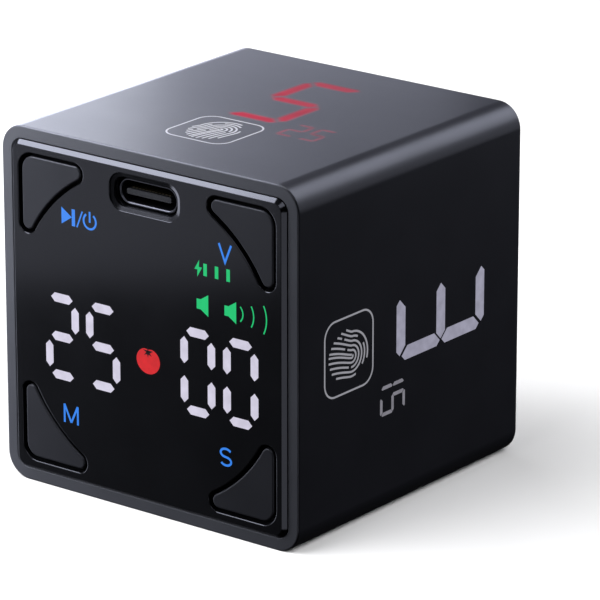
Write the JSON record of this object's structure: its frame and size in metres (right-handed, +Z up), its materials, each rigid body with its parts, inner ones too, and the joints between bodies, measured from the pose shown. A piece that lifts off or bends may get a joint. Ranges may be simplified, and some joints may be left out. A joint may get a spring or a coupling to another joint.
{
  "type": "kitchen timer",
  "caption": "Cube kitchen timer: satin square sleeve, glossy digit face with corner keys and charging socket, a glowing preset number and touch mark on each side.",
  "frame": {"origin": "middle of the underside of the cube, on the surface it stands on", "axes": "+Z up; -Y out of the glossy display face; +X to the right of that face"},
  "size_m": [0.045, 0.045, 0.045],
  "materials": {
    "sleeve_satin": "satin, fine moulded texture",
    "panel_gloss": "polished, smoked",
    "cover_satin": "satin, fine moulded texture",
    "key_satin": "satin",
    "frame_black": "matt",
    "reflector_white": "matt",
    "light_pipe": "frosted",
    "tomato_pipe": "frosted",
    "icon_pipe": "frosted",
    "diffuser_film": "frosted",
    "adhesive": "tacky",
    "board_green": "solder mask",
    "chip_black": "matt epoxy",
    "led_white": "resin",
    "socket_steel": "plated",
    "contact_gold": "gold plated",
    "screw_steel": "black zinc",
    "chassis_grey": "matt",
    "battery_foil": "foil",
    "foam_black": "closed-cell foam",
    "lead_red": "insulation",
    "ribbon_white": "film",
    "speaker_black": "moulded",
    "cone_paper": "pressed paper",
    "magnet_steel": "ferrite",
    "copper_foil": "foil"
  },
  "bodies": {
    "case": {"outer_sleeve": "sleeve_satin", "front_panel": "panel_gloss", "back_cover": "cover_satin", "cover_screws": "screw_steel", "panel_adhesive": "adhesive", "key_frame": "frame_black", "display_film": "diffuser_film", "display_reflector": "reflector_white", "segment_light_pipes": "light_pipe", "tomato_light_pipe": "tomato_pipe", "icon_light_pipes": "icon_pipe", "display_leds": "led_white", "front_board": "board_green", "usb_shell": "socket_steel", "usb_tongue": "frame_black", "usb_contacts": "contact_gold", "inner_chassis": "chassis_grey", "battery_cell": "battery_foil", "battery_pad": "foam_black", "battery_leads": "lead_red", "board_ribbon": "ribbon_white", "main_board": "board_green", "main_board_screws": "screw_steel", "microcontroller": "chip_black", "tilt_sensor": "chip_black", "charge_chip": "chip_black", "speaker_leads": "lead_red", "speaker_frame": "speaker_black", "speaker_cone": "cone_paper", "speaker_magnet": "magnet_steel", "speaker_gasket": "foam_black", "side_leds": "led_white", "side_headers": "frame_black", "play_switch_body": "chip_black", "volume_switch_body": "chip_black", "minutes_switch_body": "chip_black", "seconds_switch_body": "chip_black", "right_board": "board_green", "right_reflector": "reflector_white", "right_touch_electrode": "copper_foil", "top_board": "board_green", "top_reflector": "reflector_white", "top_touch_electrode": "copper_foil", "left_board": "board_green", "left_reflector": "reflector_white", "left_touch_electrode": "copper_foil", "bottom_board": "board_green", "bottom_reflector": "reflector_white", "bottom_touch_electrode": "copper_foil"},
    "play_key": {"play_key": "key_satin"},
    "play_plunger": {"play_switch_plunger": "key_satin"},
    "volume_key": {"volume_key": "key_satin"},
    "volume_plunger": {"volume_switch_plunger": "key_satin"},
    "minutes_key": {"minutes_key": "key_satin"},
    "minutes_plunger": {"minutes_switch_plunger": "key_satin"},
    "seconds_key": {"seconds_key": "key_satin"},
    "seconds_plunger": {"seconds_switch_plunger": "key_satin"}
  },
  "joints": [
    {"name": "play_key_press", "type": "slide", "parent": "case", "child": "play_key", "axis": [0, 1, 0], "range_m": [0, 0.0005], "stiffness_N_per_m": 1000},
    {"name": "play_plunger_press", "type": "slide", "parent": "case", "child": "play_plunger", "axis": [0, 1, 0], "range_m": [0, 0.0005]},
    {"name": "volume_key_press", "type": "slide", "parent": "case", "child": "volume_key", "axis": [0, 1, 0], "range_m": [0, 0.0005], "stiffness_N_per_m": 1000},
    {"name": "volume_plunger_press", "type": "slide", "parent": "case", "child": "volume_plunger", "axis": [0, 1, 0], "range_m": [0, 0.0005]},
    {"name": "minutes_key_press", "type": "slide", "parent": "case", "child": "minutes_key", "axis": [0, 1, 0], "range_m": [0, 0.0005], "stiffness_N_per_m": 1000},
    {"name": "minutes_plunger_press", "type": "slide", "parent": "case", "child": "minutes_plunger", "axis": [0, 1, 0], "range_m": [0, 0.0005]},
    {"name": "seconds_key_press", "type": "slide", "parent": "case", "child": "seconds_key", "axis": [0, 1, 0], "range_m": [0, 0.0005], "stiffness_N_per_m": 1000},
    {"name": "seconds_plunger_press", "type": "slide", "parent": "case", "child": "seconds_plunger", "axis": [0, 1, 0], "range_m": [0, 0.0005]}
  ],
  "couplings": [
    {"joint": "play_plunger_press", "follows": "play_key_press", "ratio": 1},
    {"joint": "volume_plunger_press", "follows": "volume_key_press", "ratio": 1},
    {"joint": "minutes_plunger_press", "follows": "minutes_key_press", "ratio": 1},
    {"joint": "seconds_plunger_press", "follows": "seconds_key_press", "ratio": 1}
  ]
}
